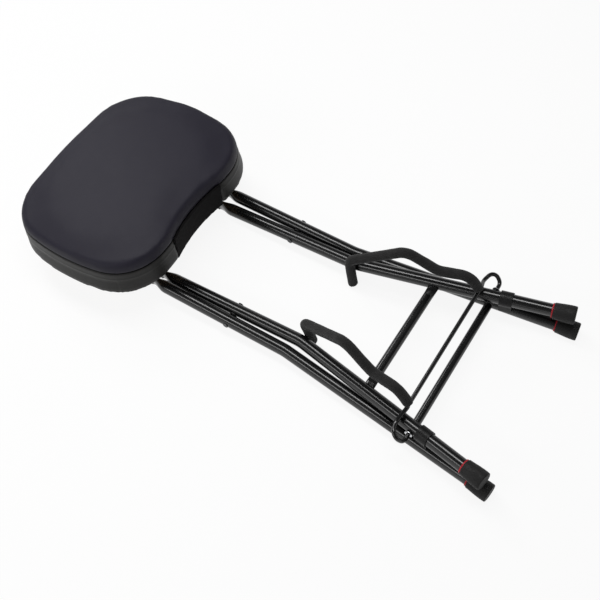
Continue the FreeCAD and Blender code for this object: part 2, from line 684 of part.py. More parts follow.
def neck_pad_sketch(body, prefix, height):
    """A strip of the hollow front edge, bounded by two arcs round the hollow's centre."""
    sketch = new_sketch(body, f"pad_{prefix}", "XY_Plane", height)
    centre = Vector(size(f"{prefix}_front") - size(f"{prefix}_notch") + size("notch_radius"), 0, 0)
    hollow = size("notch_radius") - size("neck_pad_proud")
    deep = hollow + size("neck_pad_thickness")
    spread = math.asin(size("neck_pad_half") / hollow)
    arcs = []
    face = "notch_radius - neck_pad_proud"
    for name, radius in ((face, hollow), (f"{face} + neck_pad_thickness", deep)):
        curve = Part.Circle(centre, Vector(0, 0, 1), radius)
        index = sketch.addGeometry(Part.ArcOfCircle(curve, math.pi - spread, math.pi + spread))
        constrain(sketch, name, "Radius", index, radius)
        arcs.append(index)
    ends = []
    for way in (-1, 1):
        aim = Vector(math.cos(math.pi + way * spread), math.sin(math.pi + way * spread), 0)
        ends.append(sketch.addGeometry(Part.LineSegment(centre + aim * hollow, centre + aim * deep)))
    for point, line in zip((1, 2), ends):
        sketch.addConstraint(Sketcher.Constraint("Coincident", arcs[0], point, line, 1))
        sketch.addConstraint(Sketcher.Constraint("Coincident", arcs[1], point, line, 2))
        sketch.addConstraint(Sketcher.Constraint("Horizontal", line))
    sketch.addConstraint(Sketcher.Constraint("Coincident", arcs[0], 3, arcs[1], 3))
    sketch.addConstraint(Sketcher.Constraint("PointOnObject", arcs[0], 3, -1))
    constrain(sketch, f"{prefix}_front - {prefix}_notch + notch_radius", "DistanceX", -1, 1, arcs[0], 3,
              centre.x)
    constrain(sketch, "neck_pad_half", "DistanceY", -1, 1, ends[0], 1, size("neck_pad_half"))
    constrain(sketch, "neck_pad_half", "DistanceY", ends[1], 1, -1, 1, size("neck_pad_half"))
    return sketch


def lofted(name, low, high):
    """A loft between two sketches of one body."""
    body = low.getParentGeoFeatureGroup()
    loft = body.newObject("PartDesign::AdditiveLoft", name)
    loft.Profile = low
    loft.Sections = [high]
    loft.Ruled = True
    return loft


def seat():
    """Seat board, cushion and the soft pad for a guitar neck in its front edge."""
    rim = "seat_drop + rim_height"
    board = doc.addObject("PartDesign::Body", "seat_board_body")
    slab = board.newObject("PartDesign::Pad", "seat_board_slab")
    slab.Profile = seat_sketch(board, "board", "seat_drop")
    slab.setExpression("Length", bound("board_thickness"))
    holes = []
    for side, sign in SIDES.items():
        for number, at in enumerate(screw_places(sign, "seat_drop")):
            holes.append(cylinder(f"seat_board_hole_{side}_{number}", "screw_dia + bolt_fit",
                                  "screw_depth + bolt_fit", at, "Z"))
    publish("seat_board", cut("seat_board_drilled", board, *holes), FRAMES["seat"])

    pad = doc.addObject("PartDesign::Body", "neck_pad_body")
    lofted("neck_pad_loft", neck_pad_sketch(pad, "base", "seat_drop"), neck_pad_sketch(pad, "rim", rim))
    publish("neck_rest_pad", group("neck_pad_set", pad), FRAMES["seat"])

    cushion = doc.addObject("PartDesign::Body", "seat_cushion_body")
    outline = seat_sketch(cushion, "rim", rim)
    lofted("seat_cushion_loft", seat_sketch(cushion, "base", "seat_drop"), outline)
    lofted("seat_cushion_top", outline, seat_sketch(cushion, "top", "seat_drop + crown_height"))
    dome = doc.addObject("Part::Sphere", "seat_cushion_dome")
    dome.setExpression("Radius", bound("crown_radius"))
    centre = "vector(-seat_mid; 0; seat_drop + crown_height - crown_radius)"
    set_placement(dome, f"placement({centre}; {AIM['Z']})")
    crowned = doc.addObject("Part::Common", "seat_cushion_crowned")
    crowned.Base = cushion
    crowned.Tool = dome
    publish("seat_cushion", cut("seat_cushion_fitted", crowned, board, pad), FRAMES["seat"])


def bent_rod(points, radii, dia):
    """A round rod along straight runs joined by tangent arcs; one radius for each inner point."""
    edges = []
    start = points[0]
    for before, corner, after, radius in zip(points, points[1:], points[2:], radii):
        back, on = (before - corner).normalize(), (after - corner).normalize()
        half_turn = (math.pi - back.getAngle(on)) / 2
        reach = radius * math.tan(half_turn)
        arrive, leave = corner + back * reach, corner + on * reach
        inward = (back + on).normalize()
        middle = corner + inward * (radius / math.cos(half_turn) - radius)
        edges.append(Part.LineSegment(start, arrive).toShape())
        edges.append(Part.Arc(arrive, middle, leave).toShape())
        start = leave
    edges.append(Part.LineSegment(start, points[-1]).toShape())
    section = Part.Wire(Part.Circle(points[0], points[1] - points[0], dia / 2).toShape())
    return Part.Wire(edges).makePipeShell([section], True, True)


def holder_route(sign):
    """Corners of a holder rod: turned-up lip, wave, heel, loop round the leg and hinge pin."""
    slope = math.tan(math.radians(size("front_splay")))
    heel = Vector(size("heel_x"), size("heel_y"), size("heel_z"))
    hinge, bow = size("hinge_x"), size("arm_bow")

    def on_arm(corner, out):
        x = size(f"{corner}_x")
        return Vector(x, heel.y - (heel.x - x) * slope + out, size(f"{corner}_z"))

    lip = Vector(size("lip_x"), size("lip_y"), size("lip_z"))
    wave = [on_arm("tip", -size("tip_in")), on_arm("crest", bow), on_arm("dip", bow), on_arm("hump", size("hump_bow"))]
    loop = [Vector(hinge - size(f"{corner}_back"), size(f"{corner}_y"), size(f"{corner}_z"))
            for corner in ("loop_low", "loop_top")]
    loop.append(Vector(hinge, size("loop_end_y"), 0))
    pin = Vector(hinge, size("hinge_pin_end"), 0)
    route = [lip, *wave, heel, *loop, pin]
    return [Vector(point.x, sign * point.y, point.z) for point in route]


HOLDER_BENDS = ["tip", "wave", "wave", "wave", "heel", "loop_low", "loop_top", "loop_end"]


def feature(label, shape, frame):
    """A sub-part whose shape is swept in space, laid in its frame."""
    solid = doc.addObject("Part::Feature", f"{label}_shape")
    solid.Shape = shape
    return publish(label, solid, frame)


def holder(side, sign, bar):
    """One arm of the guitar holder: bent rod, foam sleeve and hinge washer."""
    route = holder_route(sign)
    radii = [size(f"{bend}_radius") for bend in HOLDER_BENDS]
    rod = bent_rod(route, radii, size("rod_dia"))
    lip, corner, hump, heel = route[0], route[1], route[4], route[5]
    lip_end = lip + (lip - corner).normalize() * size("foam_cap")
    sleeve_end = heel + (hump - heel).normalize() * size("foam_stop")
    sleeve = bent_rod([lip_end, *route[1:5], sleeve_end], radii[:4], size("foam_dia"))
    room = bent_rod(route, radii, size("rod_dia") + size("bolt_fit"))
    feature(f"holder_rod_{side}", rod, LAID)
    feature(f"holder_foam_{side}", sleeve.cut([room, bar]), LAID)
    name = f"holder_washer_{side}"
    leg_face = ("front_leg_y + (hinge_x - front_bend_x) * tan(front_splay) + tube_dia / 2 / cos(front_splay)"
                " + hinge_washer_dia / 2 * tan(front_splay) + hinge_washer_gap")
    ring, bore = turned(name, ("hinge_washer_dia", leg_face, f"{leg_face} + hinge_washer_height"),
                        ("rod_dia + bolt_fit", f"{leg_face} - rod_dia", f"{leg_face} + rod_dia"))
    flip = 0 if sign > 0 else 180
    publish(name, cut(f"{name}_whole", ring, bore),
            f"{LAID} * placement(vector(hinge_x; 0; 0); rotation(vector(1; 0; 0); {flip}))")
    return rod


def cross_rod_blank(dia):
    """The straight rod between the heels of the two arms, before it is coped to them."""
    half = size("heel_y") - size("cross_rod_short")
    start = Vector(size("heel_x") - size("cross_rod_back"), -half, size("heel_z") - size("cross_rod_below"))
    return Part.makeCylinder(dia / 2, 2 * half, start, Vector(0, 1, 0))


def holder_pair():
    """Both arms of the holder and the rod that ties their heels."""
    bar_room = cross_rod_blank(size("rod_dia") + size("bolt_fit"))
    rods = [holder(side, sign, bar_room) for side, sign in SIDES.items()]
    feature("holder_cross_rod", cross_rod_blank(size("rod_dia")).cut(rods), LAID)


def check_document():
    """Stop if any object failed to build or any sub-part has no valid solid."""
    doc.recompute()
    failed = [item.Name for item in doc.Objects if "Invalid" in item.State or "Error" in item.State]
    failed += [item.Label for item in nodes if item.Shape.isNull() or not item.Shape.isValid()]
    if failed:
        raise RuntimeError(f"failed objects: {failed}")


def main():
    for side, sign in SIDES.items():
        leg("front", side, sign, FRAMES["front"])
        leg("rear", side, sign, FRAMES["rear"])
        for pair in ("front", "rear"):
            foot(pair, side, sign, FRAMES[pair])
        clip(side, sign)
        scissor_pivot(side, sign)
        rest_pin(side, sign)
        seat_pivot(side, sign)
        seat_bracket(side, sign)
        bracket_screws(side, sign)
    front_cross_bar()
    rear_cross_bar()
    seat()
    holder_pair()
    check_document()
    os.makedirs("parts", exist_ok=True)
    for item in nodes:
        item.Shape.exportStep(f"parts/{item.Label}.step")
    whole = nodes[0].Shape.BoundBox
    for item in nodes:
        whole.add(item.Shape.BoundBox)
    print(len(nodes), "sub-parts, box", whole)
    print("seat turn", seat_turn, "saddle", saddle_back, saddle_rise)


main()
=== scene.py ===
import json
import math

import bpy
import numpy as np
from bpy.props import FloatProperty, FloatVectorProperty, PointerProperty
from mathutils import Matrix, Vector


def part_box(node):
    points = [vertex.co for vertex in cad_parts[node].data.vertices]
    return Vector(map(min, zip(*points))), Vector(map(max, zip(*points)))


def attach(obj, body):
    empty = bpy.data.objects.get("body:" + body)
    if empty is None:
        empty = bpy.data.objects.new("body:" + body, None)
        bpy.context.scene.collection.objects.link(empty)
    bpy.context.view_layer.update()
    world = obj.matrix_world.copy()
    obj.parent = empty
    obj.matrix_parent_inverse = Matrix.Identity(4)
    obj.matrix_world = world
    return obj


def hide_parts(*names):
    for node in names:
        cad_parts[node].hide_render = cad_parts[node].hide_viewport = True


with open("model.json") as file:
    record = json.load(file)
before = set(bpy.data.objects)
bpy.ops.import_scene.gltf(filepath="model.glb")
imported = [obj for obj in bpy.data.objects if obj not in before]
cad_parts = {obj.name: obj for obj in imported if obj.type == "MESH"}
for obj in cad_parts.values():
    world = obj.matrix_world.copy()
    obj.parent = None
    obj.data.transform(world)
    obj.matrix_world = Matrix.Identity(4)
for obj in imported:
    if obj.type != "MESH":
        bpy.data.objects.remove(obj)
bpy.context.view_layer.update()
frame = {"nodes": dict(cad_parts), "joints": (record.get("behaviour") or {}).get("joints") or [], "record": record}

bl_info = {
    "name": "Guitar Stool",
    "version": (1, 0, 0),
    "blender": (4, 5, 0),
    "location": "View3D > Sidebar > Stool",
    "description": "Dresses the folding guitar stool: upholstery, foam, rubber, enamel and studio",
    "category": "Object",
}

SIDES = ("left", "right")
JOINTS = {joint["name"]: Vector(joint["pos_m"]) for joint in frame["joints"]}
MOUNTS = {mount["name"]: mount for mount in frame["record"]["mounts"]}

# The seat's cover, in metres. Heights are over the seat pivot, distances forward of it.
HELD_HEIGHT = 0.042  # the filling leaves the cover alone below this
FILL_FRAMES = 20  # steps of the cloth simulation
EVENING_ROUNDS = 40  # passes that even out what the filling moved
UPPER_ROUNDS = 6  # smoothing of the upper edge
SETTLE_ROUNDS = 2  # smoothing of the whole cover
SEAM_REACH = 0.0036  # rings are cut this far over and under the top seam
SEAM_WIDTH = 0.002  # half width of the top seam's groove
RIDGE_REACH = 0.0021  # rings are cut this far over and under the lower seam
RIDGE_WIDTH = 0.0022  # half width of the lower seam's ridge
RING_SHARES = (-1, -0.5, 0, 0.5, 1)  # places of the rings, as shares of the reach
FLARE_TOP = 0.07  # height at which the lower edge starts to stand out
FRONT_TOP = 0.09  # height at which the front beside the neck patch starts to stand out
EDGE_FADE = 0.02  # height over which both come to their full amount
PATCH_FADE = 0.012  # width over which they fade out, half of it behind the neck patch
BACK_START = -0.26  # where the flare begins behind the pivot
BACK_FADE = 0.08  # length over which it comes to its full amount
RIDGE_HIGHLIGHT_FADE = (-0.42, -0.25)  # places along X between which the painted highlight on the ridge fades, to under half its brightness at the second
TOP, BAND, RIDGE_PAINTED_HIGHLIGHT, SEAM_THREAD_AND_SHADE = range(4)  # the cover's materials, in their order: top, band, the ridge's painted highlight, and the seam's dark thread with painted shade

# The other soft pieces and the feet, in metres.
PATCH_CELL = 0.0022
PATCH_ROUNDS = 6
FOAM_CELL = 0.002
FOAM_ROUNDS = 8
FOAM_LUMP = 0.03
FOOT_SIDES = 64
FOOT_EDGE = 0.0024
# Share of a foot's length up from the sole, and of the way from its top to its sole diameter.
FOOT_OUTLINE = ((1, 0), (0.9, 0.05), (0.72, 0.34), (0.5, 0.76), (0.28, 1), (0, 0.94))

# A noise pattern mostly lies between these two numbers.
PATTERN_LOW, PATTERN_HIGH = 0.3, 0.7

# The studio: soft boxes with their place, target, length and width in metres, and watts.
LAMPS = {
    "main_box": ((-0.7, 0.25, 2.2), (-0.7, 0, 0), (2.8, 0.5), 38),
    "near_box": ((-1.0, -1.8, 1.25), (-1.0, 0, 0), (2.6, 0.45), 16),
    "back_box": ((-2.6, 1.1, 2.1), (-0.5, 0, 0), (1, 1), 24),
}
FLOOR_WIDTH = 12
FLOOR_WHITE = 0.9  # share of plain white in the floor as it is seen
SKY_SEEN = 1  # strength of the backdrop where it is seen
SKY_UNSEEN = 0.25  # strength with which it lights the stool
SKY_OVERHEAD = 0.12  # strength of the ceiling
SKY_FADE = (0.1, 0.4)  # heights between which the backdrop becomes the ceiling
CAMERA_LENS, CAMERA_SENSOR = 56.46, 36  # millimetres
CAMERA_PLACE = (0.65528, -0.78488, 1.5634)
CAMERA_TURN = (32.23, 3.908, 32.314)  # degrees
CAMERA_REACH = 50


def seat_axes():
    """The seat pivot and the seat's own axes, read from the hinges along the folded front legs."""
    along = (JOINTS["holder_fold"] - JOINTS["leg_fold"]).normalized()
    across = Vector((0, 1, 0))
    return JOINTS["seat_tilt"], along, across, along.cross(across)


SEAT_ORIGIN, SEAT_X, SEAT_Y, SEAT_Z = seat_axes()
SEAT_AXES = np.array([SEAT_X, SEAT_Y, SEAT_Z])


def in_seat(points):
    """Row points as distances forward, to the left and up from the seat pivot."""
    return (np.asarray(points) - np.array(SEAT_ORIGIN)) @ SEAT_AXES.T


def from_seat(local):
    """Row points of distances forward, to the left and up from the seat pivot."""
    return local @ SEAT_AXES + np.array(SEAT_ORIGIN)


class StoolSizes(bpy.types.PropertyGroup):
    """Sizes of the soft pieces and the rubber."""

    seam_height: FloatProperty(
        name="Seam height", description="Height of the top seam over the seat pivot",
        default=0.0955, unit="LENGTH")
    seam_slope: FloatProperty(
        name="Seam slope", description="How far the top seam sinks for each metre forward",
        default=0.03)
    seam_depth: FloatProperty(
        name="Seam depth", description="How far the top seam draws the cover in",
        default=0.0034, unit="LENGTH")
    ridge_height: FloatProperty(
        name="Ridge height", description="Height of the lower seam's ridge over the seat pivot",
        default=0.078, unit="LENGTH")
    ridge_proud: FloatProperty(
        name="Ridge", description="How far the lower seam stands out",
        default=0.0004, unit="LENGTH")
    cover_voxel: FloatProperty(
        name="Cover cell", description="Cell of the cover before it is filled",
        default=0.005, unit="LENGTH")
    cover_swell: FloatProperty(
        name="Cover swell", description="How far the filling may push the cover out",
        default=0.006, unit="LENGTH")
    cover_ease: FloatProperty(
        name="Cover ease",
        description="Width that the cover loses again when its edges are rounded",
        default=0.003, unit="LENGTH")
    cover_rise: FloatProperty(
        name="Cover rise",
        description="Height that the cover loses again when its edges are rounded",
        default=0.004, unit="LENGTH")
    cover_flare: FloatProperty(
        name="Cover flare",
        description="How far the cover's lower edge stands out, where it is pulled over the board",
        default=0.003, unit="LENGTH")
    front_proud: FloatProperty(
        name="Front proud",
        description="How far the cover's front stands out beside the neck patch",
        default=0.003, unit="LENGTH")
    patch_proud: FloatProperty(
        name="Patch proud",
        description="How far the neck patch stands forward of its place in the seat's edge",
        default=0.0035, unit="LENGTH")
    patch_drop: FloatProperty(
        name="Patch drop",
        description="How much taller the neck patch is, where it is folded under the seat's edge",
        default=1.06)
    board_proud: FloatProperty(
        name="Board proud",
        description="How far the board stands out of the cover's underside",
        default=0.0012, unit="LENGTH")
    foam_swell: FloatProperty(
        name="Foam unevenness", description="Soft unevenness of the foam sleeves",
        default=0.0007, unit="LENGTH")
    foot_length: FloatProperty(
        name="Foot length", description="Length of a rubber foot",
        default=0.0415, unit="LENGTH")
    foot_top_dia: FloatProperty(
        name="Foot top", description="Diameter of a foot where the tube enters",
        default=0.031, unit="LENGTH")
    foot_sole_dia: FloatProperty(
        name="Foot sole", description="Diameter of a foot near the sole",
        default=0.035, unit="LENGTH")


class StoolColours(bpy.types.PropertyGroup):
    """Colours of the finishes."""

    vinyl_top: FloatVectorProperty(
        name="Seat top", description="Vinyl on top of the seat",
        subtype="COLOR", default=(0.0146, 0.0132, 0.0222), min=0, max=1)
    vinyl_band: FloatVectorProperty(
        name="Seat band", description="Vinyl round the sides of the seat",
        subtype="COLOR", default=(0.0195, 0.0191, 0.0183), min=0, max=1)
    # painted highlight: a light line painted along the lower seam's ridge, fading along X
    vinyl_ridge_painted_highlight: FloatVectorProperty(
        name="Seat ridge highlight", description="Painted highlight on the ridge of the lower seam",
        subtype="COLOR", default=(0.046, 0.0455, 0.044), min=0, max=1)
    seam: FloatVectorProperty(
        name="Seat seam", description="Thread and shade in the top seam",
        subtype="COLOR", default=(0.006, 0.006, 0.0062), min=0, max=1)
    neck_patch: FloatVectorProperty(
        name="Neck patch", description="Non-slip patch in the hollow of the seat",
        subtype="COLOR", default=(0.0075, 0.007, 0.0072), min=0, max=1)
    enamel: FloatVectorProperty(
        name="Enamel", description="Black powder coat on the tubes",
        subtype="COLOR", default=(0.0035, 0.0035, 0.0038), min=0, max=1)
    foam: FloatVectorProperty(
        name="Foam", description="Foam sleeves of the holder",
        subtype="COLOR", default=(0.0098, 0.0094, 0.0095), min=0, max=1)
    rubber: FloatVectorProperty(
        name="Rubber", description="Feet",
        subtype="COLOR", default=(0.011, 0.0107, 0.0106), min=0, max=1)
    band: FloatVectorProperty(
        name="Foot band", description="Coloured band over each foot",
        subtype="COLOR", default=(0.4, 0.018, 0.028), min=0, max=1)
    plastic: FloatVectorProperty(
        name="Clip plastic", description="Parking clips and spacers",
        subtype="COLOR", default=(0.006, 0.006, 0.0062), min=0, max=1)
    fastener: FloatVectorProperty(
        name="Fasteners", description="Blackened steel of the bolts, nuts, screws and pins",
        subtype="COLOR", default=(0.06, 0.06, 0.063), min=0, max=1)
    zinc: FloatVectorProperty(
        name="Zinc", description="Washers at the holder's hinge",
        subtype="COLOR", default=(0.62, 0.63, 0.64), min=0, max=1)
    plywood: FloatVectorProperty(
        name="Plywood", description="Board under the seat",
        subtype="COLOR", default=(0.42, 0.29, 0.17), min=0, max=1)
    floor: FloatVectorProperty(
        name="Floor", description="Studio floor",
        subtype="COLOR", default=(0.9, 0.9, 0.9), min=0, max=1)


def sizes():
    return bpy.context.scene.stool_sizes


def colours():
    return bpy.context.scene.stool_colours


def deselect():
    """Leave edit mode with nothing selected."""
    if bpy.context.mode != "OBJECT":
        bpy.ops.object.mode_set(mode="OBJECT")
    bpy.ops.object.select_all(action="DESELECT")


def pick(piece):
    """Make one piece the only selected and active one."""
    deselect()
    piece.select_set(True)
    bpy.context.view_layer.objects.active = piece


def edit_all(piece):
    """Open a piece in edit mode with everything selected."""
    pick(piece)
    bpy.ops.object.mode_set(mode="EDIT")
    bpy.ops.mesh.select_all(action="SELECT")


def copy_of_piece(pattern, name):
    """A copy of a piece with a mesh of its own."""
    mesh = pattern.data.copy()
    mesh.name = name
    piece = bpy.data.objects.new(name, mesh)
    bpy.context.scene.collection.objects.link(piece)
    return piece


def copy_of_node(node, name):
    """A new piece with the merged mesh of a CAD node."""
    piece = copy_of_piece(frame["nodes"][node], name)
    piece.data.materials.clear()
    edit_all(piece)
    bpy.ops.mesh.remove_doubles(threshold=1e-6)
    bpy.ops.object.mode_set(mode="OBJECT")
    return piece


def apply_modifier(piece, kind, name, **settings):
    """Add one modifier to a piece, set it up and apply it."""
    pick(piece)
    modifier = piece.modifiers.new(name, kind)
    for key, value in settings.items():
        setattr(modifier, key, value)
    bpy.ops.object.modifier_apply(modifier=modifier.name)


def remesh(piece, cell):
    """Rebuild a piece's surface from even cells."""
    apply_modifier(piece, "REMESH", "cells", mode="VOXEL", voxel_size=cell)


def smooth(piece, rounds, group=""):
    """Soften a piece, or only one vertex group of it."""
    apply_modifier(piece, "SMOOTH", "ease", factor=0.5, iterations=rounds, vertex_group=group)


def round_off(piece):
    """Subdivide a piece once."""
    apply_modifier(piece, "SUBSURF", "round", levels=1, render_levels=1)


def cut_ring(piece, place, upright):
    """Cut a ring of edges round a piece, through a point and square to a direction."""
    edit_all(piece)
    bpy.ops.mesh.bisect(plane_co=place, plane_no=upright)
    bpy.ops.object.mode_set(mode="OBJECT")


def group_points(piece, name, chosen):
    """Gather the chosen points of a piece in a vertex group."""
    group = piece.vertex_groups.new(name=name)
    group.add([int(index) for index in np.flatnonzero(chosen)], 1.0, "REPLACE")


def point_rows(piece, kind):
    """Three numbers for each point of a piece."""
    rows = np.zeros(len(piece.data.vertices) * 3)
    piece.data.vertices.foreach_get(kind, rows)
    return rows.reshape(-1, 3)


def coordinates(piece):
    return point_rows(piece, "co")


def normals(piece):
    """Outward direction at every point of a piece."""
    return point_rows(piece, "normal")


def set_coordinates(piece, points):
    piece.data.vertices.foreach_set("co", np.asarray(points, dtype=np.float32).ravel())
    piece.data.update()


def ramp(distance, width):
    """How far distances have come into a fade of this width, from 0 to 1."""
    return np.clip(distance / width, 0, 1)


def shade_smooth(piece, angle=None):
    """Shade a piece smoothly, but for edges sharper than an angle, where one is given."""
    pick(piece)
    if angle is None:
        bpy.ops.object.shade_smooth()
    else:
        bpy.ops.object.shade_smooth_by_angle(angle=math.radians(angle))


def finish_piece(piece, material, slot, body, *nodes):
    """Give a piece its material and its body, and hide the nodes that it stands for. The slot is not used."""
    piece.data.materials.clear()
    piece.data.materials.append(material)
    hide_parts(*nodes)
    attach(piece, body)


class Finish:
    """A material whose pattern reads the piece's own coordinates."""

    def __init__(self, name, colour, roughness, **sockets):
        self.material = bpy.data.materials.new(name)
        self.material.use_nodes = True
        self.nodes = self.material.node_tree.nodes
        self.links = self.material.node_tree.links
        self.shader = self.nodes["Principled BSDF"]
        self.shader.inputs["Base Color"].default_value = (*colour, 1)
        self.shader.inputs["Roughness"].default_value = roughness
        for socket, value in sockets.items():
            self.shader.inputs[socket.replace("_", " ")].default_value = value
        self.colour = colour
        self.roughness = roughness
        self.place = self.nodes.new("ShaderNodeTexCoord").outputs["Object"]
        self.bump = None

    def noise(self, scale, detail=3.0, roughness=0.5, stretch=(1, 1, 1)):
        mapping = self.nodes.new("ShaderNodeMapping")
        mapping.inputs["Scale"].default_value = stretch
        self.links.new(self.place, mapping.inputs["Vector"])
        texture = self.nodes.new("ShaderNodeTexNoise")
        texture.inputs["Scale"].default_value = scale
        texture.inputs["Detail"].default_value = detail
        texture.inputs["Roughness"].default_value = roughness
        self.links.new(mapping.outputs["Vector"], texture.inputs["Vector"])
        return texture.outputs["Fac"]

    def cells(self, scale):
        texture = self.nodes.new("ShaderNodeTexVoronoi")
        texture.feature = "DISTANCE_TO_EDGE"
        texture.inputs["Scale"].default_value = scale
        self.links.new(self.place, texture.inputs["Vector"])
        return texture.outputs["Distance"]

    def along(self):
        """Distance along X."""
        axes = self.nodes.new("ShaderNodeSeparateXYZ")
        self.links.new(self.place, axes.inputs["Vector"])
        return axes.outputs["X"]

    def spread(self, value, low, high, start=PATTERN_LOW, end=PATTERN_HIGH):
        """Stretch a pattern between two numbers."""
        scaled = self.nodes.new("ShaderNodeMapRange")
        scaled.inputs["From Min"].default_value = start
        scaled.inputs["From Max"].default_value = end
        scaled.inputs["To Min"].default_value = low
        scaled.inputs["To Max"].default_value = high
        self.links.new(value, scaled.inputs["Value"])
        return scaled.outputs["Result"]

    def vary_colour(self, value, dark, light):
        """Let a pattern move the colour between a darker and a lighter tone."""
        mix = self.nodes.new("ShaderNodeMix")
        mix.data_type = "RGBA"
        mix.inputs["A"].default_value = (*[part * dark for part in self.colour], 1)
        mix.inputs["B"].default_value = (*[min(part * light, 1) for part in self.colour], 1)
        self.links.new(self.spread(value, 0, 1), mix.inputs["Factor"])
        self.links.new(mix.outputs["Result"], self.shader.inputs["Base Color"])

    def vary_roughness(self, value, less, more):
        """Let a pattern move the roughness some way down and up."""
        varied = self.spread(value, self.roughness - less, self.roughness + more)
        self.links.new(varied, self.shader.inputs["Roughness"])

    def relief(self, value, height, strength):
        """Add a layer of relief, in metres."""
        bump = self.nodes.new("ShaderNodeBump")
        bump.inputs["Strength"].default_value = strength
        bump.inputs["Distance"].default_value = height
        self.links.new(value, bump.inputs["Height"])
        if self.bump is not None:
            self.links.new(self.bump, bump.inputs["Normal"])
        self.bump = bump.outputs["Normal"]
        self.links.new(self.bump, self.shader.inputs["Normal"])


def vinyl(name, colour, roughness, gloss, fade=None):
    """Grained upholstery vinyl, with a soft change of tone, or instead a painted highlight that fades between two
    places along X.
    """
    finish = Finish(name, colour, roughness, Specular_IOR_Level=gloss)
    if fade is None:
        finish.vary_colour(finish.noise(scale=9, detail=2), dark=0.97, light=1.03)
    else:
        # painted highlight: full tone at the fade's first place, falling to under half at its second
        tone = finish.spread(finish.along(), PATTERN_HIGH, PATTERN_LOW, *fade)
        finish.vary_colour(tone, dark=0.46, light=1)
    finish.vary_roughness(finish.noise(scale=60, detail=4), less=0.015, more=0.02)
    finish.relief(finish.cells(scale=900), height=0.00018, strength=0.55)
    finish.relief(finish.noise(scale=260, detail=3), height=0.00025, strength=0.35)
    return finish.material


def grip_sheet(name, colour):
    """Dull non-slip sheet with a fine grain."""
    finish = Finish(name, colour, roughness=0.9, Specular_IOR_Level=0.1)
    finish.vary_colour(finish.noise(scale=40, detail=3), dark=0.8, light=1.25)
    finish.relief(finish.cells(scale=800), height=0.0003, strength=0.6)
    return finish.material


def enamel(name, colour, roughness):
    """Black powder coat with a slight change of gloss and tone."""
    finish = Finish(name, colour, roughness, Specular_IOR_Level=0.6)
    finish.vary_roughness(finish.noise(scale=12, detail=2), less=0.02, more=0.03)
    finish.vary_colour(finish.noise(scale=20, detail=3), dark=0.85, light=1.2)
    return finish.material


def foam(name, colour):
    """Closed-cell foam: fine pores and a dull skin."""
    finish = Finish(name, colour, roughness=0.92, Specular_IOR_Level=0.25,
                    Sheen_Weight=0.12, Sheen_Roughness=0.6)
    finish.vary_colour(finish.noise(scale=70, detail=4), dark=0.75, light=1.3)
    finish.relief(finish.cells(scale=1100), height=0.0003, strength=0.5)
    finish.relief(finish.noise(scale=320, detail=4), height=0.0004, strength=0.5)
    return finish.material


def rubber(name, colour, roughness, gloss=0.25):
    """Moulded rubber or plastic with a fine tooth."""
    finish = Finish(name, colour, roughness, Specular_IOR_Level=gloss)
    finish.vary_roughness(finish.noise(scale=120, detail=4), less=0.08, more=0.1)
    finish.vary_colour(finish.noise(scale=35, detail=3), dark=0.85, light=1.15)
    finish.relief(finish.noise(scale=900, detail=2), height=0.0001, strength=0.5)
    return finish.material


def plated(name, colour, roughness):
    """Plated steel with a fine, uneven surface."""
    finish = Finish(name, colour, roughness, Metallic=1.0)
    finish.vary_roughness(finish.noise(scale=300, detail=3), less=0.06, more=0.12)
    finish.vary_colour(finish.noise(scale=80, detail=3), dark=0.9, light=1.05)
    finish.relief(finish.noise(scale=1500, detail=1), height=0.00004, strength=0.4)
    return finish.material


def plywood(name, colour):
    """Plain plywood with its grain along the seat."""
    finish = Finish(name, colour, roughness=0.6)
    grain = finish.noise(scale=60, detail=6, roughness=0.6, stretch=(0.12, 1, 1))
    finish.vary_colour(grain, dark=0.7, light=1.2)
    finish.relief(grain, height=0.0003, strength=0.4)
    return finish.material


class STOOL_OT_frame(bpy.types.Operator):
    """Give every rigid piece of the frame its finish"""

    bl_idname = "stool.frame_finish"
    bl_label = "Frame finishes"

    def execute(self, context):
        tone = colours()
        finishes = {
            "black_enamel": enamel("black_enamel", tone.enamel, roughness=0.2),
            "bracket_enamel": enamel("bracket_enamel", tone.enamel, roughness=0.35),
            "rod_enamel": enamel("rod_enamel", tone.enamel, roughness=0.22),
            "foot_rubber": rubber("foot_rubber", tone.rubber, roughness=0.62),
            "red_band": rubber("red_band", tone.band, roughness=0.5),
            "clip_plastic": rubber("clip_plastic", tone.plastic, roughness=0.42, gloss=0.22),
            "spacer_plastic": rubber("spacer_plastic", tone.plastic, roughness=0.5),
            "dark_fastener": plated("dark_fastener", tone.fastener, roughness=0.35),
            "zinc": plated("zinc", tone.zinc, roughness=0.28),
            "plywood": plywood("plywood", tone.plywood),
        }
        for entry in frame["record"]["subparts"]:
            material = finishes.get(entry["material_slot"])
            if material is not None:
                node = frame["nodes"][entry["node"]]
                node.data.materials.clear()
                node.data.materials.append(material)
        return {"FINISHED"}


